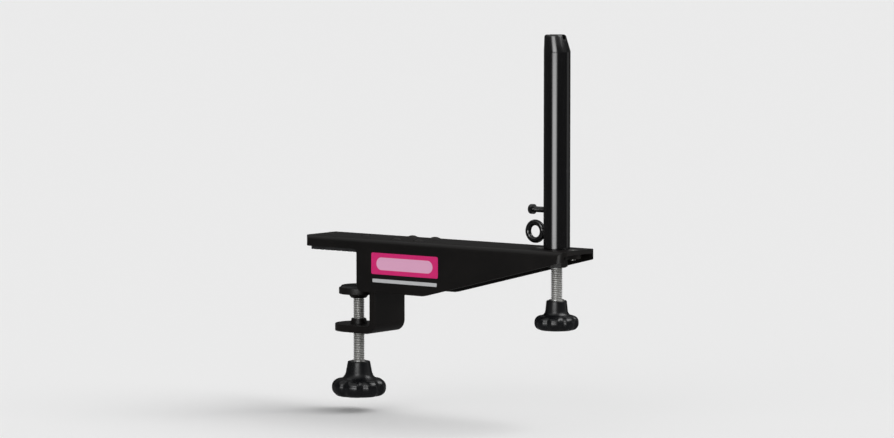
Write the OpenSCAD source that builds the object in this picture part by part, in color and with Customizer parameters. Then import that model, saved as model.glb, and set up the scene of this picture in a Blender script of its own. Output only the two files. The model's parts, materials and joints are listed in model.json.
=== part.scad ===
// Table tennis net clamp: a folded steel arm, screwed to the table's edge by a C-strap and a
// pressure foot, carries a round net post whose height a second screw sets.
// Millimetres. The origin is where the clamp screw's axis meets the top of the table.
// +Z is up, +Y runs in over the table, and X runs along the table's edge.

/* [Table] */
// Thickness of the table top that the clamp holds at rest
table_t = 25; // [19:0.5:30]
// Distance from the table's edge in to the clamp screw
edge_in = 14; // [12:1:18]

/* [Arm] */
// Width over the arm's folded sides
arm_w = 40; // [38:1:46]
// Thickness of the arm's sheet steel
sheet_t = 3; // [2.5:0.5:3]
// Height of the arm's top face above the table
arm_top = 10; // [10:0.5:12]
// Outer radius of the folds
fold_r = 4.5; // [3.5:0.5:6]
// How far the arm reaches over the table, from its edge
tongue_reach = 48; // [44:1:60]
// Depth of the short lips along the tongue
tongue_lip = 7.5; // [6:0.5:8]
// Depth of the sides below the top of the table
side_drop = 27; // [20:1:32]
// Length of the deep part of the sides, from the table's edge
deep_len = 59; // [56:1:80]
// Depth of the sides at the arm's outer end
tail_depth = 7; // [5:0.5:10]
// Length of the arm beyond the post's axis
tail_len = 19; // [18:1:24]

/* [Lower jaw] */
// Thickness of the jaw's strap steel
strap_t = 5; // [4:0.5:6]
// Depth of the jaw's underside below the top of the table
jaw_drop = 57; // [54:1:64]
// Distance from the table's edge out to the strap's upright
strap_out = 9; // [7:1:12]
// Inner radius of the strap's bends
strap_bend = 3; // [2:0.5:5]

/* [Post] */
// Distance from the clamp screw to the post's axis
post_reach = 172; // [160:1:184]
// Outside diameter of the post
post_d = 18; // [17.5:0.25:19]
// Wall of the post's tube
post_wall = 1.5; // [1.2:0.1:1.6]
// Height of the post's top above the table
post_top = 154.5; // [145:0.5:165]
// Height of the post's cap
cap_h = 12; // [9:0.5:16]
// Height of the cord eye above the table
eye_z = 21; // [20.5:0.5:22]
// Height of the net peg above the table
peg_z = 36; // [34:0.5:38]

/* [Screws and knobs] */
// Outside diameter of both screws
screw_d = 8; // [7:0.5:8]
// Radial clearance of the turning fits
fit = 0.05; // [0.02:0.01:0.1]
// Diameter of the pressure foot
foot_d = 28; // [24:1:32]
// Length of bare screw between the lower jaw and its knob
clamp_free = 22; // [20:1:26]
// Length of bare screw between the arm's nut and its knob
adjust_free = 22.5; // [18:0.5:26]
// Diameter of the clamp's knob
clamp_knob_d = 38.5; // [34:0.5:44]
// Diameter of the clamp knob's hub, at the foot of its taper
clamp_hub_d = 18; // [16:0.5:19]
// Diameter of the height adjuster's knob
adjust_knob_d = 30; // [29:0.5:32]
// Diameter of the adjuster knob's hub, at the foot of its taper
adjust_hub_d = 15; // [14.4:0.2:15.6]
// Number of lobes round each knob
lobes = 8; // [5:1:9]

/* [Hidden] */
$fn = 48;

STEEL_BLACK = "#1e1b19";
GLOSS_BLACK = "#0d0d0e";
ZINC = "#b9babb";
PLASTIC = "#17181a";
RUBBER = "#2a2a2b";

edge_y = -edge_in;
post_y = -post_reach;
arm_under = arm_top - sheet_t;
inner_w = arm_w - 2 * sheet_t;
tongue_y = edge_y + tongue_reach;
deep_y = edge_y - deep_len;
tail_y = post_y - tail_len;
plan_r = 6;
seat = 0.2;
lapped_r = fold_r - sheet_t + 0.3;

// The strap's upper leg lies under the arm, its upright stands outside the table's edge
strap_w = inner_w - 2 * seat;
web_in = edge_y - strap_out;
web_out = web_in - strap_t;
leg_end = deep_y + 3;
leg_under = arm_under - strap_t;
jaw_under = -jaw_drop;
jaw_top = jaw_under + strap_t;
bush_r = 6;
bush_collar = 3.5;
rivet_xy = [for (x = [-9, 9], y = [web_out - 13, web_out - 33]) [x, y]];
pad_rivet_y = [-6.5, 25.5];

screw_r = screw_d / 2;
journal_r = 2.6;
groove_r = 2;
clip_t = 0.7;
clip_r = 4.8;

// Pressure foot, from the table's underside down
rubber_t = 3;
cup_t = 3;
cup_lip = 1.5;
cup_recess = 2;
hub_h = 3;
foot_top = -table_t;
cup_top = foot_top - rubber_t;
cup_under = cup_top - cup_t;
clamp_shoulder = cup_under - hub_h;
clamp_floor = cup_top - cup_recess;
clamp_knob_top = jaw_under - clamp_free;
clamp_knob_h = 24.5;
clamp_phase = 2.5;

// Height adjuster, from the nut up
guide_flange_t = 3;
nut_h = 6.5;
nut_af = 13;
nut_top = arm_under - guide_flange_t;
nut_under = nut_top - nut_h;
adjust_knob_top = nut_under - adjust_free;
adjust_knob_h = 20;
adjust_phase = 8.5;
bore_r = post_d / 2 - post_wall;
guide_r = bore_r - 0.08;
guide_top = peg_z + 20;
groove_w = 4.6;
plug_z = guide_top + 2;
plug_h = 10;
plug_floor = plug_z + plug_h - cup_recess;
tube_foot = arm_top + 0.3;
tube_top = post_top - cap_h;
guide_screw_out = 13.5;
guide_screw_r = 2;
guide_head_r = 3.6;
countersink = 1.7;

insert_r = 6;
insert_len = 16;
screw_in_knob = 18;

// Corner [x, y, r] of an outline, as the points of its arc of radius r
function corner(a, b, c, n) =
    let (
        p = [b[0], b[1]],
        u = [a[0], a[1]] - p, v = [c[0], c[1]] - p,
        un = u / norm(u), vn = v / norm(v),
        half = acos(un * vn) / 2,
        reach = b[2] / tan(half),
        centre = p + (un + vn) / norm(un + vn) * b[2] / sin(half),
        s = p + un * reach - centre, e = p + vn * reach - centre,
        a0 = atan2(s[1], s[0]), turn = atan2(e[1], e[0]) - a0,
        sweep = turn > 180 ? turn - 360 : turn < -180 ? turn + 360 : turn
    )
    b[2] == 0 ? [p] : [for (k = [0:n]) centre + b[2] * [cos(a0 + sweep * k / n), sin(a0 + sweep * k / n)]];

// Closed outline of corners [x, y, r], each rounded to its own radius
function rounded(pts, n = 8) =
    let (m = len(pts)) [for (i = [0:m - 1]) each corner(pts[(i + m - 1) % m], pts[i], pts[(i + 1) % m], n)];

// Flat shape of width w from y0 up to y1, its two upper corners rounded to r
module arch(w, y0, y1, r) {
    translate([-w / 2, y0]) square([w, y1 - y0 - r]);
    translate([-w / 2 + r, y0]) square([w - 2 * r, y1 - y0]);
    for (s = [-1, 1]) translate([s * (w / 2 - r), y1 - r]) circle(r);
}

// Stadium of overall length len along Y and width w
module stadium(w, len) {
    square([w, len - w], center = true);
    for (s = [-1, 1]) translate([0, s * (len - w) / 2]) circle(d = w);
}

// Quarter ring about the origin, in the quadrant from angle a
module quarter_ring(r_in, r_out, a) {
    rotate(a) intersection() {
        difference() {
            circle(r_out);
            circle(r_in);
        }
        square(r_out);
    }
}

// Extrudes a shape drawn in the Y-Z plane across the width w, centred on X
module across(w) {
    rotate([90, 0, 90]) translate([0, 0, -w / 2]) linear_extrude(w) children();
}

// Low domed head of radius r and height h, standing on z = 0
module dome(r, h) {
    ball = (r * r + h * h) / (2 * h);
    rotate_extrude() intersection() {
        translate([0, h - ball]) circle(ball);
        square([r, h]);
    }
}

// Rivet whose shank runs from z0 up to z1, with a domed head on each end
module rivet(z0, z1, shank_r, head_r, head_h) {
    translate([0, 0, z0]) cylinder(r = shank_r, h = z1 - z0);
    translate([0, 0, z1]) dome(head_r, head_h);
    translate([0, 0, z0]) mirror([0, 0, 1]) dome(head_r, head_h);
}

// Folded inverted channel: lips along the tongue, deep sides at the table's edge, tapered to the tail
module arm_channel() {
    side = rounded([
        [tongue_y, arm_top + 1, 0], [tongue_y, arm_top - tongue_lip, 2],
        [edge_y, arm_top - tongue_lip, 3], [edge_y, -side_drop, 5],
        [deep_y, -side_drop, 12], [tail_y, arm_top - tail_depth, 2], [tail_y, arm_top + 1, 0]
    ]);
    plan = rounded([
        [-arm_w / 2, tail_y, plan_r], [arm_w / 2, tail_y, plan_r],
        [arm_w / 2, tongue_y, plan_r], [-arm_w / 2, tongue_y, plan_r]
    ]);
    color(STEEL_BLACK) difference() {
        intersection() {
            translate([0, tongue_y, 0]) rotate([90, 0, 0]) linear_extrude(tongue_y - tail_y) difference() {
                arch(arm_w, -side_drop - 1, arm_top, fold_r);
                arch(inner_w, -side_drop - 2, arm_under, fold_r - sheet_t);
            }
            across(arm_w + 2) polygon(side);
            translate([0, 0, -side_drop - 2]) linear_extrude(side_drop + arm_top + 4) polygon(plan);
        }
        for (p = rivet_xy) translate([p[0], p[1], arm_under - 1]) cylinder(r = 2.5, h = sheet_t + 2);
        for (y = pad_rivet_y) translate([0, y, arm_under - 1]) cylinder(r = 2, h = sheet_t + 2);
        translate([0, post_y, arm_under - 1]) cylinder(r = bore_r + 0.1, h = sheet_t + 2);
        for (s = [-1, 1]) translate([0, post_y + s * guide_screw_out, arm_top]) {
            translate([0, 0, -sheet_t - 1]) cylinder(r = guide_screw_r + 0.1, h = sheet_t + 2);
            translate([0, 0, -countersink])
                cylinder(r1 = guide_screw_r + 0.1, r2 = guide_head_r + 0.2, h = countersink + 0.01);
        }
    }
}

// Bent strap: upper leg under the arm, upright outside the table's edge, lower jaw with a round end
module lower_jaw_strap() {
    bend_out = strap_bend + strap_t;
    color(STEEL_BLACK) difference() {
        intersection() {
            across(strap_w) {
                translate([leg_end, leg_under]) square([web_in - bend_out - leg_end, strap_t]);
                translate([web_in - bend_out, arm_under - bend_out]) quarter_ring(strap_bend, bend_out, 0);
                translate([web_out, jaw_under + bend_out])
                    square([strap_t, arm_under - jaw_under - 2 * bend_out]);
                translate([web_out + bend_out, jaw_under + bend_out])
                    quarter_ring(strap_bend, bend_out, 180);
                translate([web_out + bend_out, jaw_under])
                    square([strap_w / 2 - web_out - bend_out, strap_t]);
            }
            translate([0, 0, jaw_under - 1]) linear_extrude(arm_top - jaw_under) {
                translate([-strap_w / 2, leg_end]) square([strap_w, -leg_end]);
                circle(d = strap_w, $fn = 96);
            }
            translate([0, strap_w, 0]) rotate([90, 0, 0]) linear_extrude(strap_w - leg_end + 1)
                arch(strap_w, jaw_under - 1, arm_under, lapped_r);
        }
        translate([0, 0, jaw_under - 1]) cylinder(r = bush_r, h = strap_t + 2);
        for (p = rivet_xy) translate([p[0], p[1], leg_under - 1]) cylinder(r = 2.5, h = strap_t + 2);
    }
}

// Four rivets that join the strap's upper leg to the arm
module strap_rivets() {
    color(STEEL_BLACK) for (p = rivet_xy) translate([p[0], p[1], 0])
        rivet(leg_under, arm_top, 2.5, 4.5, 1.6);
}

// Ribbed rubber block between the tongue's lips
module top_jaw_pad() {
    pad_w = inner_w - 0.6;
    pad_len = tongue_reach - 5;
    rib_pitch = 5;
    pad_y = edge_y + 2;
    outline = rounded([
        [-pad_w / 2, pad_y, 3], [pad_w / 2, pad_y, 3],
        [pad_w / 2, pad_y + pad_len, 3], [-pad_w / 2, pad_y + pad_len, 3]
    ]);
    color(RUBBER) difference() {
        intersection() {
            linear_extrude(arm_under) polygon(outline);
            translate([0, tongue_y, 0]) rotate([90, 0, 0]) linear_extrude(tongue_reach)
                arch(pad_w, 0, arm_under, lapped_r);
        }
        for (k = [-2:5]) translate([0, (k + 0.5) * rib_pitch, 0]) cube([pad_w + 1, 1.4, 1.6], center = true);
        for (y = pad_rivet_y) translate([0, y, 3]) {
            cylinder(r = 2, h = arm_under);
            translate([0, 0, -4]) cylinder(r = 4, h = 4);
        }
    }
}

// Two rivets that hold the pad under the tongue, their lower heads sunk in it
module pad_rivets() {
    color(STEEL_BLACK) for (y = pad_rivet_y) translate([0, y, 0]) rivet(3, arm_top, 2, 3.6, 1.2);
}

// Threaded bush pressed into the lower jaw, with a coned collar on its upper side
module clamp_nut() {
    color(STEEL_BLACK) difference() {
        union() {
            translate([0, 0, jaw_under]) cylinder(r = bush_r, h = strap_t);
            translate([0, 0, jaw_top]) cylinder(r1 = bush_r, r2 = bush_r - 0.8, h = bush_collar);
        }
        translate([0, 0, jaw_under - 1]) cylinder(r = screw_r + fit, h = strap_t + bush_collar + 2);
    }
}

// Spigot that the post slides on, with a flange under the arm and a groove for the peg's tail
module post_guide() {
    color(STEEL_BLACK) translate([0, post_y, 0]) difference() {
        union() {
            translate([0, 0, nut_top]) linear_extrude(guide_flange_t) stadium(20, 2 * guide_screw_out + 9);
            translate([0, 0, arm_under]) cylinder(r = guide_r, h = guide_top - arm_under - 1);
            translate([0, 0, guide_top - 1]) cylinder(r1 = guide_r, r2 = guide_r - 1, h = 1);
        }
        translate([0, 0, nut_top - 1]) cylinder(r = screw_r + 0.5, h = guide_top);
        translate([-groove_w / 2, guide_r - 2, peg_z - 3.2]) cube([groove_w, 4, guide_top]);
        for (s = [-1, 1]) translate([0, s * guide_screw_out, nut_top - 1])
            cylinder(r = guide_screw_r, h = guide_flange_t + 2);
    }
}

// Two countersunk screws that fix the guide's flange under the arm
module guide_screws() {
    color(ZINC) for (s = [-1, 1]) translate([0, post_y + s * guide_screw_out, 0]) difference() {
        union() {
            translate([0, 0, nut_top - 1]) cylinder(r = guide_screw_r, h = arm_top - nut_top);
            translate([0, 0, arm_top - countersink])
                cylinder(r1 = guide_screw_r, r2 = guide_head_r, h = countersink - 0.1);
        }
        translate([0, 0, arm_top - 1.3]) cylinder(r = 1.4, h = 2, $fn = 6);
    }
}

// Hexagon nut welded under the guide and painted with it
module adjust_nut() {
    color(STEEL_BLACK) translate([0, post_y, nut_under]) difference() {
        intersection() {
            cylinder(d = nut_af / cos(30), h = nut_h, $fn = 6);
            union() {
                cylinder(r1 = nut_af / 2 - 0.3, r2 = nut_af / cos(30) / 2 + 0.1, h = 0.8);
                translate([0, 0, 0.8]) cylinder(r = nut_af / cos(30) / 2 + 0.1, h = nut_h - 0.8);
            }
        }
        translate([0, 0, -1]) cylinder(r = screw_r + fit, h = nut_h + 2);
    }
}

// Drawn steel tube that carries the net
module post_tube() {
    color(GLOSS_BLACK) translate([0, post_y, 0]) difference() {
        translate([0, 0, tube_foot]) cylinder(d = post_d, h = tube_top - tube_foot, $fn = 96);
        translate([0, 0, tube_foot - 1]) cylinder(r = bore_r, h = tube_top - tube_foot + 2, $fn = 96);
        for (z = [eye_z, peg_z]) translate([0, 0, z]) rotate([-90, 0, 0]) cylinder(r = 2, h = post_d);
        translate([0, 0, plug_z + plug_h / 2]) rotate([90, 0, 0])
            cylinder(r = 1.5, h = 2 * post_d, center = true);
    }
}

// Plastic cap: its side towards the net stands upright and the rest draws in to a smaller round
// top, which has a groove for the net's cord
module post_cap() {
    lean = 3.2;
    edge_r = 1.6;
    skirt = 0.8;
    cord_d = 3.2;
    color(PLASTIC) translate([0, post_y, 0]) difference() {
        union() {
            translate([0, 0, tube_top]) hull() {
                cylinder(d = post_d, h = skirt, $fn = 64);
                translate([0, lean / 2, cap_h - edge_r]) rotate_extrude($fn = 64)
                    translate([(post_d - lean) / 2 - edge_r, 0]) circle(edge_r, $fn = 16);
            }
            translate([0, 0, tube_top - 8]) cylinder(r = bore_r - 0.05, h = 8);
        }
        translate([0, 0, post_top - 2.6]) rotate([90, 0, 0])
            cylinder(d = cord_d, h = 2 * post_d, center = true);
        translate([-cord_d / 2, -post_d, post_top - 2.6]) cube([cord_d, 2 * post_d, 4]);
    }
}

// Plug in the tube that rides on the adjuster's shoulder
module thrust_plug() {
    color(ZINC) translate([0, post_y, plug_z]) difference() {
        cylinder(r = bore_r - 0.02, h = plug_h);
        translate([0, 0, -1]) cylinder(r = journal_r + fit, h = plug_h + 2);
        translate([0, 0, plug_floor - plug_z]) cylinder(r = 5.5, h = cup_recess + 1);
        for (s = [-1, 1]) translate([0, s * 2 * journal_r, plug_h / 2])
            rotate([-90 * s, 0, 0]) cylinder(r = 1.5, h = post_d);
    }
}

// Two short pins that key the plug to the tube, flush with its wall
module plug_pin() {
    color(GLOSS_BLACK) for (s = [-1, 1]) translate([0, post_y + s * 2 * journal_r, plug_z + plug_h / 2])
        rotate([-90 * s, 0, 0]) cylinder(r = 1.5, h = post_d / 2 - 2 * journal_r - 0.1);
}

// Closed wire eye at the post's foot, for the net's lower cord
module cord_eye() {
    ring_r = 6;
    wire_r = 2;
    ring_y = post_d / 2 + ring_r + wire_r + 0.8;
    color(GLOSS_BLACK) translate([0, post_y, eye_z]) {
        translate([0, ring_y, 0]) rotate([0, 90, 0])
            rotate_extrude($fn = 64) translate([ring_r, 0]) circle(wire_r);
        translate([0, bore_r + 0.05, 0]) rotate([-90, 0, 0])
            cylinder(r = wire_r, h = ring_y - ring_r - bore_r - 0.05);
    }
}

// Peg with a round head for the net's loop; its tail keys the post on the guide
module net_peg() {
    peg_r = 2;
    tail = guide_r - 1.4;
    color(GLOSS_BLACK) translate([0, post_y, peg_z]) rotate([-90, 0, 0]) {
        translate([0, 0, tail]) cylinder(r = peg_r, h = post_d / 2 + 10 - tail);
        translate([0, 0, post_d / 2 + 10]) rotate_extrude() {
            square([2.2, 3.5]);
            square([3.4, 2.2]);
            translate([2.1, 2.2]) circle(1.3);
        }
    }
}

// Lobed knob hanging from z = 0: a tapered hub, a concave neck and a thick rounded rim
module lobed_knob(d, hub_d, h, phase) {
    rim_h = h * 0.49;
    hub_r = hub_d / 2;
    hub_top_r = hub_r - (hub_r - insert_r) / 3;
    hub_edge = 0.8;
    edge_r = h * 0.22;
    flare = d / 2 - edge_r - hub_r;
    flute_r = d * 0.12;
    dish_r = d * 0.3;
    translate([0, 0, -h]) difference() {
        rotate_extrude($fn = 96) {
            square([d / 2 - edge_r, rim_h]);
            translate([0, edge_r]) square([d / 2, rim_h - 2 * edge_r]);
            for (y = [edge_r, rim_h - edge_r]) translate([d / 2 - edge_r, y]) circle(edge_r);
            difference() {
                square([hub_r + flare, rim_h + flare]);
                translate([hub_r + flare, rim_h + flare]) circle(flare);
            }
            polygon([
                [0, 0], [hub_r, 0], [hub_r, rim_h + flare], [hub_top_r, h - hub_edge], [0, h - hub_edge]
            ]);
            square([hub_top_r - hub_edge, h]);
            translate([hub_top_r - hub_edge, h - hub_edge]) circle(hub_edge);
        }
        for (k = [0:lobes - 1]) rotate(phase + k * 360 / lobes)
            translate([d / 2 + flute_r * 0.62, 0, -1]) cylinder(r = flute_r, h = rim_h + 2);
        translate([0, 0, -1]) cylinder(r = dish_r, h = 2);
        translate([0, 0, h - insert_len]) cylinder(r = insert_r, h = insert_len + 1);
        translate([0, 0, h - screw_in_knob - 0.5]) cylinder(r = screw_r, h = screw_in_knob);
    }
}

// Collared steel bush moulded into a knob's hub, its top at z = 0
module knob_insert() {
    translate([0, 0, -insert_len]) difference() {
        union() {
            cylinder(r = insert_r, h = insert_len);
            translate([0, 0, insert_len]) cylinder(r = insert_r - 0.8, h = 0.6);
        }
        translate([0, 0, -1]) cylinder(r = screw_r, h = insert_len + 3);
        for (z = [3, 8]) translate([0, 0, z]) difference() {
            cylinder(r = insert_r + 1, h = 1.5);
            cylinder(r = insert_r - 0.6, h = 1.5);
        }
    }
}

// Snap ring that sits in a journal's groove, its underside at z = 0
module circlip() {
    linear_extrude(clip_t) difference() {
        circle(clip_r);
        circle(groove_r);
        translate([0, -1.6]) square([clip_r + 1, 3.2]);
        for (a = [120, 240]) rotate(a) translate([clip_r + 0.4, 0]) circle(1.3);
    }
}

// Screw from z0 up to its shoulder, with a grooved journal through to z1
module screw_with_journal(z0, shoulder, z1, clip_z) {
    chamfer = 0.8;
    difference() {
        union() {
            translate([0, 0, z0]) cylinder(r1 = screw_r - chamfer, r2 = screw_r, h = chamfer);
            translate([0, 0, z0 + chamfer]) cylinder(r = screw_r, h = shoulder - z0 - chamfer);
            translate([0, 0, shoulder]) cylinder(r = journal_r, h = z1 - shoulder - 0.5);
            translate([0, 0, z1 - 0.5]) cylinder(r1 = journal_r, r2 = journal_r - 0.5, h = 0.5);
        }
        translate([0, 0, clip_z]) difference() {
            cylinder(r = journal_r + 1, h = clip_t);
            cylinder(r = groove_r, h = clip_t);
        }
    }
}

module adjust_screw() {
    color(ZINC) translate([0, post_y, 0]) screw_with_journal(
        adjust_knob_top - screw_in_knob, plug_z - 0.05, plug_floor + 1.7, plug_floor + 0.05);
}

module adjust_knob() {
    color(PLASTIC) translate([0, post_y, adjust_knob_top])
        lobed_knob(adjust_knob_d, adjust_hub_d, adjust_knob_h, adjust_phase);
}

module adjust_knob_insert() {
    color(ZINC) translate([0, post_y, adjust_knob_top]) knob_insert();
}

module adjust_circlip() {
    color(ZINC) translate([0, post_y, plug_floor + 0.05]) circlip();
}

// Painted steel cup that holds the rubber and swivels on the screw's journal
module pressure_cup() {
    color(STEEL_BLACK) difference() {
        union() {
            translate([0, 0, cup_under]) cylinder(d = foot_d, h = cup_t + cup_lip);
            translate([0, 0, clamp_shoulder]) cylinder(r1 = 5.5, r2 = 7.5, h = hub_h);
        }
        translate([0, 0, cup_top]) cylinder(d = foot_d - 2.4, h = cup_lip + 1);
        translate([0, 0, clamp_floor]) cylinder(r = 5.5, h = cup_recess + 1);
        translate([0, 0, clamp_shoulder - 1]) cylinder(r = journal_r + fit, h = hub_h + cup_t + 1);
    }
}

// Rubber disc with a chamfered rim, which bears on the table's underside
module pressure_rubber() {
    rubber_r = foot_d / 2 - 1.2;
    color(RUBBER) translate([0, 0, cup_top]) {
        cylinder(r = rubber_r, h = rubber_t - 0.8);
        translate([0, 0, rubber_t - 0.8]) cylinder(r1 = rubber_r, r2 = rubber_r - 0.8, h = 0.8);
    }
}

module clamp_screw() {
    color(ZINC) screw_with_journal(
        clamp_knob_top - screw_in_knob, clamp_shoulder - 0.05, clamp_floor + 1.7, clamp_floor + 0.05);
}

module clamp_knob() {
    color(PLASTIC) translate([0, 0, clamp_knob_top])
        lobed_knob(clamp_knob_d, clamp_hub_d, clamp_knob_h, clamp_phase);
}

module clamp_knob_insert() {
    color(ZINC) translate([0, 0, clamp_knob_top]) knob_insert();
}

module clamp_circlip() {
    color(ZINC) translate([0, 0, clamp_floor + 0.05]) circlip();
}

arm_channel();
lower_jaw_strap();
strap_rivets();
top_jaw_pad();
pad_rivets();
clamp_nut();
post_guide();
guide_screws();
adjust_nut();
post_tube();
post_cap();
thrust_plug();
plug_pin();
cord_eye();
net_peg();
adjust_screw();
adjust_knob();
adjust_knob_insert();
adjust_circlip();
pressure_cup();
pressure_rubber();
clamp_screw();
clamp_knob();
clamp_knob_insert();
clamp_circlip();
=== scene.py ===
"""Table tennis net clamp: finishes, threads, moulded knobs and the printed label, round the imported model.

Lengths are in metres. +Z is up, +Y runs in over the table, and the origin is where the clamp screw's
axis meets the top of the table.
"""
import json
import math
from collections import namedtuple

import bmesh
import bpy
from mathutils import Matrix, Vector


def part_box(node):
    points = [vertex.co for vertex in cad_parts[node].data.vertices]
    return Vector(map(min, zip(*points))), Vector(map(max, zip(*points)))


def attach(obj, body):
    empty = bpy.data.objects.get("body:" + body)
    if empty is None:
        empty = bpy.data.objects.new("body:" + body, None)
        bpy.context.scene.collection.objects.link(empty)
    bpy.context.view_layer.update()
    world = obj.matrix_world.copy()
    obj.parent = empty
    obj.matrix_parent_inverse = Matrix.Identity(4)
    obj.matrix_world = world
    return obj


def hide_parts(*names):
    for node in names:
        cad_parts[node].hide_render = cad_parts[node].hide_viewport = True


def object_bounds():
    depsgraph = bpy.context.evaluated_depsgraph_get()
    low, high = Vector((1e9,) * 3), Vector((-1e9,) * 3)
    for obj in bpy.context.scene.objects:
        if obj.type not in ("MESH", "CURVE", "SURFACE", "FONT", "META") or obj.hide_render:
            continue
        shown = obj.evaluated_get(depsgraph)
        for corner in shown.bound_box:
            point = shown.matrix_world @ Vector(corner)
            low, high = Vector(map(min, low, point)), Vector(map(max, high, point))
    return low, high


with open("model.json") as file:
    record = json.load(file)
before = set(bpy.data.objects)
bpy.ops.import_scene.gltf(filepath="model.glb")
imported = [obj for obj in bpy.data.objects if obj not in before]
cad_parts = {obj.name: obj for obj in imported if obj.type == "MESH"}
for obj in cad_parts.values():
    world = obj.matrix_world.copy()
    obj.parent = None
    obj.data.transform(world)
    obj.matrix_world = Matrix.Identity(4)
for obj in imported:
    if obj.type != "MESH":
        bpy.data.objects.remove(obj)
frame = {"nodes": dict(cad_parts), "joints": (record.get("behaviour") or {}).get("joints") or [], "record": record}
CAD_LOW, CAD_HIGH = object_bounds()

MM = 0.001
UP = Vector((0, 0, 1))

# Two upright axes: the clamp screw's runs through the origin, and the post's through its tube
CLAMP_AXIS = Vector((0, 0, 0))
POST_LOW, POST_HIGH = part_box("post_tube")
POST_AXIS = Vector((0, (POST_LOW.y + POST_HIGH.y) / 2, 0))
POST_RADIUS = (POST_HIGH.y - POST_LOW.y) / 2

# Screws: M8 coarse thread, rolled. Its flats at crest and root are shares of the pitch, and the root's
# edges rise a little. The journal above it starts inside the thread.
THREAD_PITCH = 1.25 * MM
THREAD_CREST = 3.98 * MM
THREAD_ROOT = 3.3 * MM
CREST_FLAT = 0.16
ROOT_FLAT = 0.2
ROOT_RISE = 0.04 * MM
SHOULDER_GAP = 0.05 * MM
JOURNAL_RADIUS = 2.6 * MM
JOURNAL_CHAMFER = 0.4 * MM
JOURNAL_OVERLAP = 1 * MM
SCREW_STEPS = 32

# Knobs: radius over the lobes, radius at the foot of the hub's taper, and angle of the first flute
Knob = namedtuple("Knob", "outer hub first_flute")
CLAMP_KNOB = Knob(19.25 * MM, 9 * MM, math.radians(2.5))
ADJUST_KNOB = Knob(15 * MM, 7.5 * MM, math.radians(8.5))

# Flutes: depth as a share of the radius over the lobes, and where they run out, in hub radii
LOBES = 8
FLUTE_DEPTH = 0.092
FLUTE_HALF_WIDTH = math.radians(14.5)
FLUTE_END = 1.25
FLUTE_STEPS = 24

# Rim: level of its top and radius of its edge, as shares of the knob's height
RIM_TOP = 0.49
RIM_ROUND = 0.22
RIM_STEPS = 10

# Neck: height over reach, and the angles in degrees where it leaves the hub's taper and meets the rim
NECK_RISE = 1.5
NECK_START = 195
NECK_END = 262
NECK_STEPS = 12

# Hub: rounding of its top edge, and share of its wall that the taper takes off
HUB_ROUND = 0.8 * MM
HUB_TAPER = 1 / 3
HUB_STEPS = 6

# Foot: its dish, as wide as a share of the radius over the lobes, and the moulding gate's stub in the dish
DISH_SHARE = 0.6
DISH_DEPTH = 1 * MM
DISH_LIP = 0.5 * MM
LIP_STEPS = 4
GATE_RADIUS = 2.2 * MM
GATE_TAPER = 0.4 * MM
GATE_HEIGHT = 0.3 * MM

# Bore of a knob, down from its top: wide for the insert, then narrow for the screw's end
INSERT_RADIUS = 6 * MM
INSERT_LENGTH = 16 * MM
INSERT_CHAMFER = 0.2 * MM
SCREW_RADIUS = 4 * MM
SCREW_LENGTH = 18.5 * MM

# Printed label and stripe on the arm's side: their spans along Y and Z, and how far the label's pale bar
# stays from its ends and its long edges
ARM_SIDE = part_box("arm_channel")[0].x
FILM_THICK = 0.12 * MM
FILM_STEPS = 5
LABEL_Y = (-86 * MM, -27.5 * MM)
LABEL_Z = (-14 * MM, 1 * MM)
LABEL_CORNER = 1.2 * MM
BAR_MARGIN = Vector((4.6 * MM, 3.1 * MM))
BAR_BLUR = 0.15 * MM
STRIPE_Y = (-85 * MM, -28.5 * MM)
STRIPE_Z = (-19.7 * MM, -17.2 * MM)
STRIPE_CORNER = 0.6 * MM

# Mesh work: how close vertices are when they merge, are cut through, or belong to the rim of a cut
MERGE_DISTANCE = 0.002 * MM
CUT_SNAP = 0.0001 * MM
CUT_RIM = 0.001 * MM

# Two faces count as one up to FLAT_ANGLE between them. Past CORNER_ANGLE their edge is rounded, and past
# a crease angle it shades sharp.
FLAT_ANGLE = math.radians(0.4)
CORNER_ANGLE = math.radians(30)
CREASE_ANGLE = math.radians(35)
EASED_CREASE_ANGLE = math.radians(40)
EASE_STEPS = 2

# Stage. A card's light fades between two shares of its width, counted from its middle.
FLOOR_RADIUS = 40
FLOOR_GAP = 1 * MM
FLOOR_GREY = 0.86
DRAPES_RADIUS = 1.1
DRAPES_TOP = 0.8
DRAPES_GREY = 0.06
CLOTH_GREY = 0.12
CLOTH_LIFT = 0.2 * MM
STAGE_STEPS = 96
CARD_DISTANCE = 0.95
CARD_FADE = (0.12, 0.5)
SUN_DISTANCE = 3

# Camera: azimuth from -Y towards +X and elevation in degrees, and the lens in millimetres
CAMERA_AZIMUTH = -52.4
CAMERA_ELEVATION = 4.7
CAMERA_DISTANCE = 2.47
CAMERA_LENS = 144
CAMERA_SENSOR = 36
CAMERA_CLIP = (0.05, 100)

WHITE = (1, 1, 1, 1)
BLACK = (0, 0, 0, 1)


def linear(red, green, blue):
    """A colour given on the 0-255 display scale, as the linear values that shaders take."""
    def channel(value):
        value /= 255
        return value / 12.92 if value <= 0.04045 else ((value + 0.055) / 1.055) ** 2.4
    return (channel(red), channel(green), channel(blue), 1)


# ---------------------------------------------------------------- shader expressions

# Places of the colour sockets on a Mix node, which has others of the same names
MIX_FACTOR, MIX_LOW, MIX_HIGH, MIX_COLOUR = 0, 6, 7, 2


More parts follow.
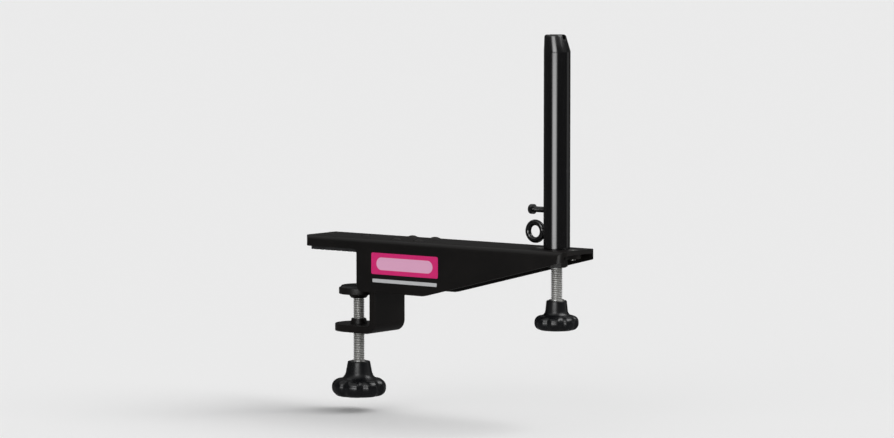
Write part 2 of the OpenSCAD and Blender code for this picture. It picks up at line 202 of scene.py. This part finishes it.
class Varying:
    """A number that varies over a surface. Each sum written on it adds a Math node."""

    def __init__(self, finish, socket):
        self.finish = finish
        self.socket = socket

    def _math(self, operation, *values):
        made = self.finish.node("ShaderNodeMath", {"operation": operation}, dict(enumerate(values)))
        return Varying(self.finish, made.outputs[0])

    def __add__(self, other):
        return self._math("ADD", self, other)

    __radd__ = __add__

    def __sub__(self, other):
        return self._math("SUBTRACT", self, other)

    def __rsub__(self, other):
        return self._math("SUBTRACT", other, self)

    def __mul__(self, other):
        return self._math("MULTIPLY", self, other)

    __rmul__ = __mul__

    def __abs__(self):
        return self._math("ABSOLUTE", self)

    def root(self):
        return self._math("SQRT", self)

    def at_least(self, other):
        return self._math("MAXIMUM", self, other)

    def step(self, low, high):
        """0 below low, 1 above high, and a smooth rise between them."""
        settings = {"interpolation_type": "SMOOTHSTEP"}
        values = {"Value": self, "From Min": low, "From Max": high}
        made = self.finish.node("ShaderNodeMapRange", settings, values)
        return Varying(self.finish, made.outputs[0])


class Finish:
    """A material on one Principled shader. Words given by name set its sockets, with _ for a space."""

    def __init__(self, name, **fixed):
        self.material = bpy.data.materials.new(name)
        self.material.use_nodes = True
        self.tree = self.material.node_tree
        self.tree.nodes.clear()
        sockets = {key.replace("_", " "): value for key, value in fixed.items()}
        self.shader = self.node("ShaderNodeBsdfPrincipled", {}, sockets)
        self.node("ShaderNodeOutputMaterial", {}, {"Surface": self.shader.outputs[0]})
        self.places = self.node("ShaderNodeTexCoord", {}, {}).outputs

    def node(self, kind, settings, inputs):
        """Adds a node: its settings are set first, then each input takes a value or a link."""
        made = self.tree.nodes.new(kind)
        for key, value in settings.items():
            setattr(made, key, value)
        for key, value in inputs.items():
            self.feed(made.inputs[key], value)
        return made

    def feed(self, socket, value):
        """Gives a socket a value, or links it to another socket or to what varies."""
        if isinstance(value, Varying):
            value = value.socket
        if isinstance(value, bpy.types.NodeSocket):
            self.tree.links.new(value, socket)
        else:
            socket.default_value = value

    def put(self, name, value):
        """Feeds the shader's socket of this name."""
        self.feed(self.shader.inputs[name], value)

    def axes(self, space="Object"):
        """The place on the surface, as its X, Y and Z."""
        split = self.node("ShaderNodeSeparateXYZ", {}, {0: self.places[space]})
        return [Varying(self, socket) for socket in split.outputs]

    def from_axis(self, axis):
        """Distance from a vertical axis."""
        x, y, _ = self.axes()
        x = x - axis.x
        y = y - axis.y
        return (x * x + y * y).root()

    def noise(self, size, detail, stretch=(1, 1, 1)):
        """Soft random pattern from 0 to 1, its patches about size across."""
        mapping = self.node("ShaderNodeMapping", {}, {"Vector": self.places["Object"], "Scale": stretch})
        values = {"Vector": mapping.outputs[0], "Scale": 1 / size, "Detail": detail}
        return Varying(self, self.node("ShaderNodeTexNoise", {}, values).outputs["Fac"])

    def blend(self, factor, low, high):
        """Colour low where factor is 0 and high where it is 1."""
        values = {MIX_FACTOR: factor, MIX_LOW: low, MIX_HIGH: high}
        return self.node("ShaderNodeMix", {"data_type": "RGBA"}, values).outputs[MIX_COLOUR]

    def bump(self, height, depth):
        """Relief of the given depth, in metres, where height runs from 0 to 1."""
        values = {"Height": height, "Distance": depth, "Strength": 1.0}
        self.put("Normal", self.node("ShaderNodeBump", {}, values).outputs[0])


# ---------------------------------------------------------------- finishes

def powder_coat(name, colour, worn):
    """Satin powder coat: orange peel, faint cloudiness, and fine specks of dust in the paint."""
    finish = Finish(name, Specular_IOR_Level=0.34)
    cloud = finish.noise(28 * MM, detail=3)
    peel = finish.noise(0.9 * MM, detail=2)
    speck = finish.noise(0.35 * MM, detail=1)
    finish.put("Base Color", finish.blend(cloud.step(0.35, 0.75), colour, worn))
    finish.put("Roughness", 0.26 + 0.1 * cloud + 0.06 * speck)
    finish.bump(0.75 * peel + 0.25 * speck, depth=0.05 * MM)
    return finish.material


def gloss_enamel(name, colour, dulled):
    """Stoved gloss enamel on drawn tube: a wet shine, faintly wavy along the tube, with handled patches."""
    finish = Finish(name, Specular_IOR_Level=1.0)
    wave = finish.noise(9 * MM, detail=1, stretch=(1, 1, 0.3))
    smear = finish.noise(22 * MM, detail=3, stretch=(1, 1, 0.5))
    finish.put("Base Color", finish.blend(smear.step(0.4, 0.8), colour, dulled))
    finish.put("Roughness", 0.1 + 0.08 * smear.step(0.3, 0.9))
    finish.bump(wave, depth=0.008 * MM)
    return finish.material


def moulded_plastic(name, colour, faded, rough, shine, axis, reach):
    """Moulded plastic with a fine spark grain, polished by fingers where it is furthest from its axis."""
    finish = Finish(name, Specular_IOR_Level=shine)
    grain = finish.noise(0.5 * MM, detail=2)
    cloud = finish.noise(12 * MM, detail=2)
    touched = finish.from_axis(axis).step(0.8 * reach, reach)
    finish.put("Base Color", finish.blend(cloud.step(0.3, 0.8), colour, faded))
    finish.put("Roughness", rough + 0.1 * cloud - 0.08 * touched)
    finish.bump(grain, depth=rough * 0.05 * MM)
    return finish.material


def zinc_plate(name, bright, dull):
    """Bright zinc plate: a cloudy sheen over a fine grain."""
    finish = Finish(name, Metallic=1.0)
    cloud = finish.noise(6 * MM, detail=3)
    fine = finish.noise(0.4 * MM, detail=2)
    finish.put("Base Color", finish.blend(cloud.step(0.3, 0.75), bright, dull))
    finish.put("Roughness", 0.24 + 0.16 * cloud)
    finish.bump(fine, depth=0.01 * MM)
    return finish.material


def thread_steel(name, axis):
    """Zinc-plated thread: painted light on the crests, and painted shade in the grooves at the root, where there
    is grease as well.
    """
    finish = Finish(name, Metallic=0.7)
    crest = finish.from_axis(axis).step(THREAD_ROOT, THREAD_CREST)
    cloud = finish.noise(5 * MM, detail=3)
    # Root tone: painted shade in the thread's grooves, with grease; crest tone: painted light on the crests
    root_shade_and_grease = linear(150, 148, 143)
    bright = linear(238, 239, 238)
    finish.put("Base Color", finish.blend(crest * (0.75 + 0.25 * cloud), root_shade_and_grease, bright))
    finish.put("Roughness", 0.5 - 0.15 * crest + 0.08 * cloud)
    finish.bump(cloud, depth=0.01 * MM)
    return finish.material


def rubber(name):
    """Black moulded rubber: dull, with a fine bloom on it."""
    finish = Finish(name, Specular_IOR_Level=0.3)
    bloom = finish.noise(9 * MM, detail=3)
    grain = finish.noise(0.45 * MM, detail=2)
    finish.put("Base Color", finish.blend(bloom.step(0.35, 0.8), linear(38, 38, 39), linear(56, 56, 57)))
    finish.put("Roughness", 0.72 + 0.14 * bloom)
    finish.bump(grain, depth=0.04 * MM)
    return finish.material


def label_print(name):
    """Glossy film printed magenta, with one plain pale bar across its middle."""
    finish = Finish(name, Specular_IOR_Level=0.4, Coat_Weight=0.25, Coat_Roughness=0.12)
    _, y, z = finish.axes()
    # The bar's ends are round: along is 0 up to where their rounding begins
    half = Vector((LABEL_Y[1] - LABEL_Y[0], LABEL_Z[1] - LABEL_Z[0])) / 2 - BAR_MARGIN
    along = (abs(y - sum(LABEL_Y) / 2) - (half.x - half.y)).at_least(0)
    across = abs(z - sum(LABEL_Z) / 2)
    bar = 1 - (along * along + across * across).root().step(half.y - BAR_BLUR, half.y + BAR_BLUR)
    ink = finish.noise(3 * MM, detail=3)
    magenta = finish.blend(ink, linear(224, 32, 118), linear(211, 26, 110))
    finish.put("Base Color", finish.blend(bar, magenta, linear(230, 170, 202)))
    finish.put("Roughness", 0.26 + 0.1 * ink)
    finish.bump(ink, depth=0.01 * MM)
    return finish.material


def stripe_print(name):
    """Film printed plain pale grey."""
    finish = Finish(name, Specular_IOR_Level=0.4)
    ink = finish.noise(3 * MM, detail=3)
    finish.put("Base Color", finish.blend(ink, linear(198, 199, 200), linear(184, 185, 187)))
    finish.put("Roughness", 0.32 + 0.1 * ink)
    finish.bump(ink, depth=0.01 * MM)
    return finish.material


def knob_plastic(name, axis, knob):
    """Satin plastic of the two knobs."""
    return moulded_plastic(name, linear(13, 14, 16), linear(18, 19, 21), rough=0.23, shine=0.55,
                           axis=axis, reach=knob.outer)


ARM_PAINT = powder_coat("arm_paint", linear(16, 14, 13), linear(21, 18, 17))
STRAP_PAINT = powder_coat("strap_paint", linear(17, 14, 13), linear(22, 19, 17))
POST_GLOSS = gloss_enamel("post_gloss", linear(8, 8, 9), linear(13, 13, 14))
CAP_PLASTIC = moulded_plastic("cap_plastic", linear(13, 13, 14), linear(20, 20, 21), rough=0.14, shine=1.0,
                              axis=POST_AXIS, reach=POST_RADIUS)
CLAMP_PLASTIC = knob_plastic("clamp_knob_plastic", CLAMP_AXIS, CLAMP_KNOB)
ADJUST_PLASTIC = knob_plastic("adjust_knob_plastic", POST_AXIS, ADJUST_KNOB)
ZINC = zinc_plate("zinc_plate", linear(196, 197, 196), linear(168, 167, 162))
CLAMP_STEEL = thread_steel("clamp_thread", CLAMP_AXIS)
ADJUST_STEEL = thread_steel("adjust_thread", POST_AXIS)
PAD_RUBBER = rubber("pad_rubber")
LABEL_FILM = label_print("label_film")
STRIPE_FILM = stripe_print("stripe_film")


# ---------------------------------------------------------------- pieces and stand-ins

def body_of(node):
    """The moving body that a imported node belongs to."""
    return next(body for body, nodes in frame["record"]["behaviour"]["bodies"].items() if node in nodes)


def slot_of(node):
    """The record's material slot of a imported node."""
    return next(s["material_slot"] for s in frame["record"]["subparts"] if s["node"] == node)


def mesh_of(name, bm):
    """Turns a bmesh into a mesh, and frees it."""
    mesh = bpy.data.meshes.new(name)
    bm.to_mesh(mesh)
    bm.free()
    return mesh


def add_object(name, data):
    """Puts a mesh, lamp or lens in the scene."""
    made = bpy.data.objects.new(name, data)
    bpy.context.scene.collection.objects.link(made)
    return made


def piece(name, bm, material, body, crease=CREASE_ANGLE):
    """Makes a bmesh a piece that rides on a body, shaded smooth but for edges sharper than crease."""
    mesh = mesh_of(name, bm)
    mesh.shade_smooth()
    mesh.set_sharp_from_angle(angle=crease)
    mesh.materials.append(material)
    made = add_object(name, mesh)
    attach(made, body)
    return made


def stand_in(node, ending, bm, material, crease=CREASE_ANGLE):
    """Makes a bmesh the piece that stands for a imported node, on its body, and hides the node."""
    made = piece(node + ending, bm, material, body_of(node), crease)
    slot_of(node)
    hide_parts(node)
    return made


# ---------------------------------------------------------------- mesh helpers

def merge(bm):
    """Joins vertices that lie in one place."""
    bmesh.ops.remove_doubles(bm, verts=bm.verts, dist=MERGE_DISTANCE)


def whole(bm):
    """All that a bmesh holds."""
    return bm.verts[:] + bm.edges[:] + bm.faces[:]


def shift(bm, geometry, way):
    """Moves the vertices that some geometry holds."""
    verts = [v for v in geometry if isinstance(v, bmesh.types.BMVert)]
    bmesh.ops.translate(bm, verts=verts, vec=way)


def outline(bm, axis, profile):
    """Adds a line through points (r, z), r out from a vertical axis."""
    verts = [bm.verts.new((axis.x + r, axis.y, z)) for r, z in profile]
    return verts + [bm.edges.new(pair) for pair in zip(verts, verts[1:])]


def arc(centre, radius, start, end, steps, rise=1):
    """Points (r, z) from one angle in degrees to another, on an arc rise times as tall as wide."""
    angles = [math.radians(start + (end - start) * k / steps) for k in range(steps + 1)]
    return [(centre[0] + radius * math.cos(a), centre[1] + radius * rise * math.sin(a)) for a in angles]


def lathe(profile, axis, steps):
    """Turns a profile of points (r, z) about a vertical axis."""
    bm = bmesh.new()
    line = outline(bm, axis, profile)
    bmesh.ops.spin(bm, geom=line, cent=axis, axis=UP, angle=math.tau, steps=steps, use_merge=True)
    merge(bm)
    bmesh.ops.recalc_face_normals(bm, faces=bm.faces)
    return bm


# ---------------------------------------------------------------- screws

def rolled_thread(axis, bottom, top):
    """Closed length of thread between two levels, cut square at both ends."""
    turns = math.ceil((top - bottom) / THREAD_PITCH) + 2
    start = bottom - THREAD_PITCH
    flank_foot = THREAD_ROOT + ROOT_RISE
    form = [(THREAD_ROOT, 0), (flank_foot, ROOT_FLAT / 2), (THREAD_CREST, 0.5 - CREST_FLAT / 2),
            (THREAD_CREST, 0.5 + CREST_FLAT / 2), (flank_foot, 1 - ROOT_FLAT / 2), (THREAD_ROOT, 1)]
    bm = bmesh.new()
    line = outline(bm, axis, [(r, start + share * THREAD_PITCH) for r, share in form])
    bmesh.ops.spin(bm, geom=line, cent=axis, axis=UP, dvec=UP * THREAD_PITCH / SCREW_STEPS,
                   angle=math.tau, steps=SCREW_STEPS)
    first = whole(bm)
    for turn in range(1, turns):
        copy = bmesh.ops.duplicate(bm, geom=first)["geom"]
        shift(bm, copy, UP * THREAD_PITCH * turn)
    merge(bm)
    for level, away in ((bottom, -UP), (top, UP)):
        bmesh.ops.bisect_plane(bm, geom=whole(bm), dist=CUT_SNAP, plane_co=UP * level, plane_no=away,
                               clear_outer=True)
        rim = [e for e in bm.edges if e.is_boundary and all(abs(v.co.z - level) < CUT_RIM for v in e.verts)]
        bmesh.ops.holes_fill(bm, edges=rim, sides=0)
    bmesh.ops.recalc_face_normals(bm, faces=bm.faces)
    return bm


def threaded_screw(node, seat, material, axis):
    """Rolled thread up to the piece that the screw's shoulder bears on, and the plain journal above it."""
    low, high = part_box(node)
    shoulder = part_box(seat)[0].z - SHOULDER_GAP
    bm = rolled_thread(axis, low.z, shoulder)
    foot = shoulder - JOURNAL_OVERLAP
    profile = [(0, foot), (JOURNAL_RADIUS, foot), (JOURNAL_RADIUS, high.z - JOURNAL_CHAMFER),
               (JOURNAL_RADIUS - JOURNAL_CHAMFER, high.z), (0, high.z)]
    journal = mesh_of("journal", lathe(profile, axis, SCREW_STEPS))
    bm.from_mesh(journal)
    bpy.data.meshes.remove(journal)
    stand_in(node, "_thread", bm, material)


# ---------------------------------------------------------------- knobs

def knob_profile(bottom, top, knob):
    """Half section of a knob: up its bore, over the hub and the rim, and in to the middle of its foot."""
    height = top - bottom
    rim = bottom + height * RIM_TOP
    edge = height * RIM_ROUND
    flare = knob.outer - edge - knob.hub
    hub_top = knob.hub - (knob.hub - INSERT_RADIUS) * HUB_TAPER - HUB_ROUND
    dish = knob.outer * DISH_SHARE
    dish_level = bottom + DISH_DEPTH
    gate_level = dish_level - GATE_HEIGHT
    profile = [(0, top - SCREW_LENGTH), (SCREW_RADIUS, top - SCREW_LENGTH),
               (SCREW_RADIUS, top - INSERT_LENGTH), (INSERT_RADIUS, top - INSERT_LENGTH),
               (INSERT_RADIUS, top - INSERT_CHAMFER), (INSERT_RADIUS + INSERT_CHAMFER, top)]
    profile += arc((hub_top, top - HUB_ROUND), HUB_ROUND, 90, 0, HUB_STEPS)
    profile += arc((knob.hub + flare, rim + flare * NECK_RISE), flare, NECK_START, NECK_END, NECK_STEPS,
                   NECK_RISE)
    profile += arc((knob.outer - edge, rim - edge), edge, NECK_END - 180, 0, RIM_STEPS)
    profile += arc((knob.outer - edge, bottom + edge), edge, 0, -90, RIM_STEPS)
    profile += arc((dish + DISH_LIP, bottom + DISH_LIP), DISH_LIP, -90, -180, LIP_STEPS)
    profile += [(dish, dish_level), (dish / 2, dish_level), (GATE_RADIUS, dish_level),
                (GATE_RADIUS - GATE_TAPER, gate_level), (0, gate_level)]
    return profile


def press_flutes(bm, axis, knob):
    """Draws a turned knob in between its lobes, less and less towards the hub."""
    inner = knob.hub * FLUTE_END
    for vert in bm.verts:
        across = vert.co.xy - axis.xy
        reach = across.length
        share = min(1, max(0, (reach - inner) / (knob.outer - inner)))
        turn = (math.atan2(across.y, across.x) - knob.first_flute) * LOBES / math.tau
        off_middle = abs(turn - round(turn)) * math.tau / LOBES
        if share > 0 and off_middle < FLUTE_HALF_WIDTH:
            hollow = math.cos(off_middle / FLUTE_HALF_WIDTH * math.pi / 2) ** 2
            fade = share * share * (3 - 2 * share)
            vert.co.xy = axis.xy + across * (1 - FLUTE_DEPTH * knob.outer * hollow * fade / reach)


def lobed_knob(node, material, axis, knob):
    """Moulded knob: shallow flutes between its lobes, a concave neck, a tapered hub and a dished foot."""
    low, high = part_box(node)
    bm = lathe(knob_profile(low.z, high.z, knob), axis, LOBES * FLUTE_STEPS)
    press_flutes(bm, axis, knob)
    stand_in(node, "_moulding", bm, material)


threaded_screw("clamp_screw", "pressure_cup", CLAMP_STEEL, CLAMP_AXIS)
threaded_screw("adjust_screw", "thrust_plug", ADJUST_STEEL, POST_AXIS)
lobed_knob("clamp_knob", CLAMP_PLASTIC, CLAMP_AXIS, CLAMP_KNOB)
lobed_knob("adjust_knob", ADJUST_PLASTIC, POST_AXIS, ADJUST_KNOB)


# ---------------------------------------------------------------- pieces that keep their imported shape

def eased(node, material, width):
    """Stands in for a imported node: the same shape, its sharp edges rounded by the given width."""
    bm = bmesh.new()
    bm.from_mesh(frame["nodes"][node].data)
    merge(bm)
    bmesh.ops.dissolve_limit(bm, angle_limit=FLAT_ANGLE, verts=bm.verts, edges=bm.edges)
    if width:
        corners = [e for e in bm.edges if len(e.link_faces) == 2 and e.calc_face_angle() > CORNER_ANGLE]
        bmesh.ops.bevel(bm, geom=corners, offset=width, offset_type="OFFSET", segments=EASE_STEPS,
                        profile=0.5, affect="EDGES", clamp_overlap=True, material=-1)
        merge(bm)
    made = stand_in(node, "_eased", bm, material, EASED_CREASE_ANGLE)
    weighted = made.modifiers.new("flat_faces", "WEIGHTED_NORMAL")
    weighted.keep_sharp = True


# Each node, its finish, and the width that its edges are rounded by
for node, material, width in (
        ("arm_channel", ARM_PAINT, 0.4 * MM),
        ("lower_jaw_strap", STRAP_PAINT, 0.6 * MM),
        ("top_jaw_pad", PAD_RUBBER, 0.25 * MM),
        ("clamp_nut", STRAP_PAINT, 0.3 * MM),
        ("post_guide", STRAP_PAINT, 0.3 * MM),
        ("guide_screws", ZINC, 0.1 * MM),
        ("adjust_nut", STRAP_PAINT, 0.25 * MM),
        ("post_tube", POST_GLOSS, 0.2 * MM),
        ("post_cap", CAP_PLASTIC, 0.3 * MM),
        ("net_peg", POST_GLOSS, 0.2 * MM),
        ("pressure_cup", STRAP_PAINT, 0.4 * MM),
        ("pressure_rubber", PAD_RUBBER, 0.3 * MM),
        ("clamp_knob_insert", ZINC, 0.15 * MM),
        ("adjust_knob_insert", ZINC, 0.15 * MM),
        ("strap_rivets", STRAP_PAINT, 0),
        ("pad_rivets", STRAP_PAINT, 0),
        ("thrust_plug", ZINC, 0),
        ("plug_pin", POST_GLOSS, 0),
        ("cord_eye", POST_GLOSS, 0),
        ("adjust_circlip", ZINC, 0),
        ("clamp_circlip", ZINC, 0)):
    eased(node, material, width)


# ---------------------------------------------------------------- label

def film(name, span_y, span_z, rounding, material):
    """Thin printed film on the arm's side, its corners rounded."""
    bm = bmesh.new()
    (outer, inner), (bottom, top) = span_y, span_z
    corners = ((outer, bottom), (outer, top), (inner, top), (inner, bottom))
    bm.faces.new([bm.verts.new((ARM_SIDE, y, z)) for y, z in corners])
    bmesh.ops.bevel(bm, geom=bm.verts[:], offset=rounding, segments=FILM_STEPS, profile=0.5,
                    affect="VERTICES", material=-1)
    lifted = bmesh.ops.extrude_face_region(bm, geom=bm.faces[:])["geom"]
    shift(bm, lifted, (-FILM_THICK, 0, 0))
    bmesh.ops.recalc_face_normals(bm, faces=bm.faces)
    piece(name, bm, material, "frame")


film("side_label", LABEL_Y, LABEL_Z, LABEL_CORNER, LABEL_FILM)
film("side_label_stripe", STRIPE_Y, STRIPE_Z, STRIPE_CORNER, STRIPE_FILM)


# ---------------------------------------------------------------- stage

def floor_level():
    """Just under the clamp's knob at the lower end of its travel."""
    travel = next(j for j in frame["joints"] if j["name"] == "foot_travel")
    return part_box("clamp_knob")[0].z + travel["range_m"][0] - FLOOR_GAP


def set_up(name, bm, material):
    """Makes a bmesh a stage object, which isn't part of the clamp."""
    mesh = mesh_of(name, bm)
    mesh.materials.append(material)
    made = add_object(name, mesh)
    return made


def disc(radius, centre):
    """A round sheet that lies level."""
    bm = bmesh.new()
    bmesh.ops.create_circle(bm, cap_ends=True, segments=STAGE_STEPS, radius=radius)
    shift(bm, bm.verts, centre)
    return bm


def pale_floor():
    """Matt floor that reaches out of sight."""
    finish = Finish("floor", Base_Color=(FLOOR_GREY, FLOOR_GREY, FLOOR_GREY, 1), Roughness=0.9,
                    Specular_IOR_Level=0.0)
    set_up("floor", disc(FLOOR_RADIUS, UP * floor_level()), finish.material)


def glow(name, strength):
    """Finish that gives off white light of the given strength and reflects none."""
    return Finish(name, Base_Color=BLACK, Specular_IOR_Level=0.0, Emission_Color=WHITE,
                  Emission_Strength=strength)


def soft_glow(name, strength):
    """Like glow, but the light fades towards the upright edges of the card that it covers."""
    finish = glow(name, strength)
    _, across, _ = finish.axes("UV")
    finish.put("Emission Color", finish.blend(abs(across - 0.5).step(*CARD_FADE), WHITE, BLACK))
    return finish


def show_in_gloss(name, bm, finish):
    """Sets up a stage object that only reflections see."""
    made = set_up(name, bm, finish.material)
    made.visible_camera = False
    made.visible_shadow = False
    made.visible_transmission = False
    made.visible_volume_scatter = False
    made.visible_diffuse = False


def dark_surround():
    """Dark drapes round the clamp and a grey cloth under it, as gloss black is shown in a studio."""
    depth = DRAPES_TOP - floor_level()
    wall = bmesh.new()
    bmesh.ops.create_cone(wall, cap_ends=False, segments=STAGE_STEPS, radius1=DRAPES_RADIUS,
                          radius2=DRAPES_RADIUS, depth=depth)
    shift(wall, wall.verts, POST_AXIS + UP * (DRAPES_TOP - depth / 2))
    show_in_gloss("drapes", wall, glow("drapes", DRAPES_GREY))
    cloth = disc(DRAPES_RADIUS, POST_AXIS + UP * (floor_level() + CLOTH_LIFT))
    show_in_gloss("cloth", cloth, glow("cloth", CLOTH_GREY))


def card(name, angle, width, bottom, top, strength):
    """A glowing upright panel that faces the post, its angle in degrees from +X towards +Y."""
    upright = Matrix.Rotation(-math.pi / 2, 3, "Y")
    turned = Matrix.Rotation(math.radians(angle), 3, "Z")
    bm = bmesh.new()
    bm.loops.layers.uv.new("card")
    bmesh.ops.create_grid(bm, x_segments=1, y_segments=1, size=0.5, calc_uvs=True)
    bmesh.ops.scale(bm, verts=bm.verts, vec=(top - bottom, width, 1))
    bmesh.ops.rotate(bm, verts=bm.verts, cent=(0, 0, 0), matrix=upright)
    shift(bm, bm.verts, (CARD_DISTANCE, 0, (top + bottom) / 2))
    bmesh.ops.rotate(bm, verts=bm.verts, cent=(0, 0, 0), matrix=turned)
    shift(bm, bm.verts, POST_AXIS)
    show_in_gloss(name, bm, soft_glow(name, strength))


def sky(strength):
    """Even white light from all round."""
    world = bpy.data.worlds.new("studio")
    bpy.context.scene.world = world
    world.use_nodes = True
    background = world.node_tree.nodes["Background"]
    background.inputs["Color"].default_value = WHITE
    background.inputs["Strength"].default_value = strength


def aim(made, place, target):
    """Puts a lamp or camera in its place, and turns it to its target."""
    made.location = place
    made.rotation_euler = (target - place).to_track_quat("-Z", "Y").to_euler()


def sun(name, direction, strength, spread):
    """Broad soft lamp in the given direction, its spread in degrees."""
    lamp = bpy.data.lights.new(name, "SUN")
    lamp.energy = strength
    lamp.angle = math.radians(spread)
    aim(add_object(name, lamp), Vector(direction) * SUN_DISTANCE, Vector((0, 0, 0)))


def camera():
    """Long lens that looks at the middle of the clamp."""
    lens = bpy.data.cameras.new("camera")
    lens.lens = CAMERA_LENS
    lens.sensor_width = CAMERA_SENSOR
    lens.clip_start, lens.clip_end = CAMERA_CLIP
    azimuth = math.radians(CAMERA_AZIMUTH)
    elevation = math.radians(CAMERA_ELEVATION)
    away = Vector((math.sin(azimuth) * math.cos(elevation), -math.cos(azimuth) * math.cos(elevation),
                   math.sin(elevation)))
    middle = (CAD_LOW + CAD_HIGH) / 2
    made = add_object("camera", lens)
    aim(made, middle + away * CAMERA_DISTANCE, middle)
    bpy.context.scene.camera = made


pale_floor()
dark_surround()
sky(strength=0.45)
sun("key", direction=(0.35, -0.8, 0.9), strength=1.9, spread=50)
sun("side", direction=(-1, -0.1, 0.3), strength=0.8, spread=60)
card("soft_box", angle=-166, width=0.95, bottom=floor_level(), top=0.15, strength=4.6)
card("cap_strip", angle=-166, width=0.9, bottom=0.38, top=0.7, strength=4.6)
card("fill_card", angle=-37, width=0.8, bottom=floor_level(), top=0.3, strength=0.3)
camera()
bpy.context.scene.view_settings.view_transform = "Standard"
